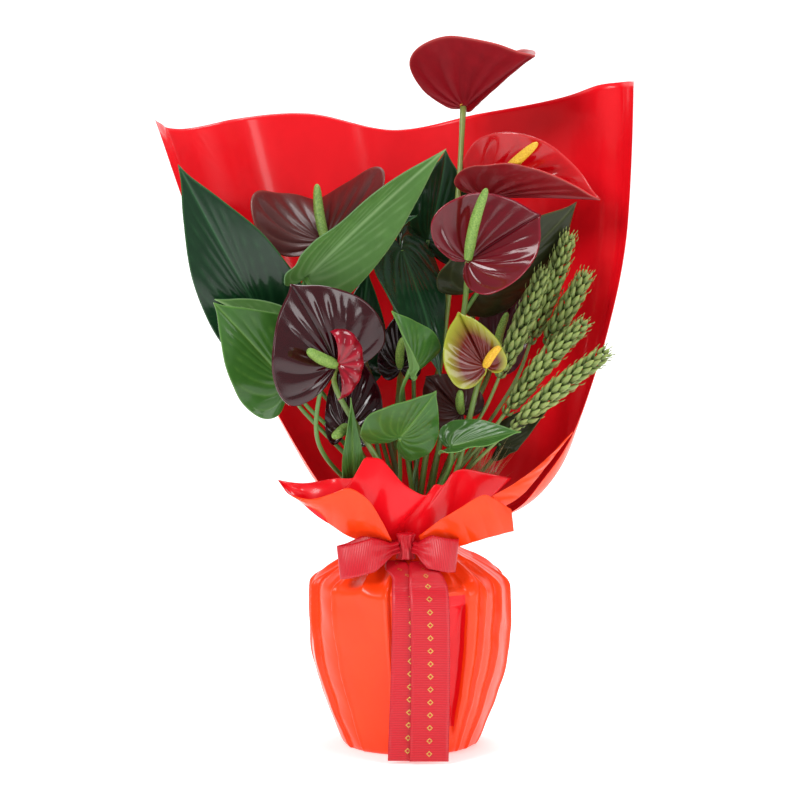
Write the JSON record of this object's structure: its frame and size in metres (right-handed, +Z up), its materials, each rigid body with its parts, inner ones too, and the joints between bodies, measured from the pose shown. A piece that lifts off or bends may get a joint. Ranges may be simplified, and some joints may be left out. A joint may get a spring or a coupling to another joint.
{
  "type": "potted anthurium",
  "caption": "Gift-wrapped anthurium: leaves, heart-shaped flowers and green wheat ears in a small pot dressed in glossy red film, with a ribbon bow.",
  "frame": {"origin": "centre of the wrapped pot's flat base, where it stands on a table", "axes": "+Z up out of the pot, -Y towards the front, where the bow is, +X to the right seen from the front"},
  "size_m": [0.3348, 0.1871, 0.4997],
  "materials": {
    "nursery_pot": "moulded terracotta-brown plastic, satin",
    "potting_mix": "loose bark and peat, matt",
    "wrap_film": "thin red florist film, high gloss",
    "ribbon": "ribbed red ribbon with woven edges",
    "spathe_red": "waxy red, glossy",
    "spathe_burgundy": "waxy dark red, glossy",
    "spathe_black_red": "waxy black red, very glossy",
    "spathe_brown": "waxy brown red, satin underside",
    "spathe_green_red": "waxy green with a red middle",
    "spadix_yellow": "fine bumps, matt yellow",
    "spadix_green": "fine bumps, matt pale green",
    "flower_stalk": "smooth green stalk, reddish near the flower",
    "leaf_dark": "leathery dark green, glossy",
    "leaf_light": "leathery mid green, glossy",
    "leaf_underside": "pale green underside, satin",
    "leaf_olive": "leathery olive green, satin",
    "wheat_green": "green ears, satin husks"
  },
  "bodies": {
    "root": {"film_back_sheet": "wrap_film", "film_collar": "wrap_film", "ribbon_band_and_knot": "ribbon", "bow_loop_left": "ribbon", "bow_loop_right": "ribbon", "spathe_top_red": "spathe_red", "stalk_top_red": "flower_stalk", "spadix_top_red": "spadix_yellow", "spathe_upper_red": "spathe_red", "stalk_upper_red": "flower_stalk", "spadix_upper_red": "spadix_yellow", "spathe_burgundy": "spathe_burgundy", "stalk_burgundy": "flower_stalk", "spadix_burgundy": "spadix_green", "spathe_brown": "spathe_brown", "stalk_brown": "flower_stalk", "spadix_brown": "spadix_green", "spathe_large_dark": "spathe_black_red", "stalk_large_dark": "flower_stalk", "spadix_large_dark": "spadix_green", "spathe_lower_dark": "spathe_black_red", "stalk_lower_dark": "flower_stalk", "spadix_lower_dark": "spadix_green", "spathe_small_green": "spathe_green_red", "stalk_small_green": "flower_stalk", "spadix_small_green": "spadix_yellow", "spathe_hidden_dark": "spathe_black_red", "stalk_hidden_dark": "flower_stalk", "spadix_hidden_dark": "spadix_green", "spathe_low_brown": "spathe_brown", "stalk_low_brown": "flower_stalk", "spadix_low_brown": "spadix_green", "spathe_back_maroon": "spathe_burgundy", "stalk_back_maroon": "flower_stalk", "spadix_back_maroon": "spadix_green", "leaf_tall_left": "leaf_dark", "leaf_folded_upper": "leaf_underside", "leaf_back_centre": "leaf_dark", "leaf_dark_centre": "leaf_dark", "leaf_hanging": "leaf_dark", "leaf_low_left": "leaf_light", "leaf_left_underside": "leaf_underside", "leaf_front_small": "leaf_light", "leaf_low_centre": "leaf_dark", "leaf_narrow": "leaf_light", "leaf_low_right": "leaf_dark", "leaf_right_olive": "leaf_olive", "leaf_low_olive": "leaf_olive", "leaf_behind_dark": "leaf_dark", "wheat_back": "wheat_green", "wheat_middle": "wheat_green", "wheat_tall_right": "wheat_green", "wheat_right": "wheat_green", "wheat_low_right": "wheat_green", "nursery_pot": "nursery_pot", "potting_mix": "potting_mix", "film_pot_cover": "wrap_film", "film_shoulder": "wrap_film", "ribbon_tail_front": "ribbon", "ribbon_tail_side": "ribbon"}
  },
  "joints": []
}
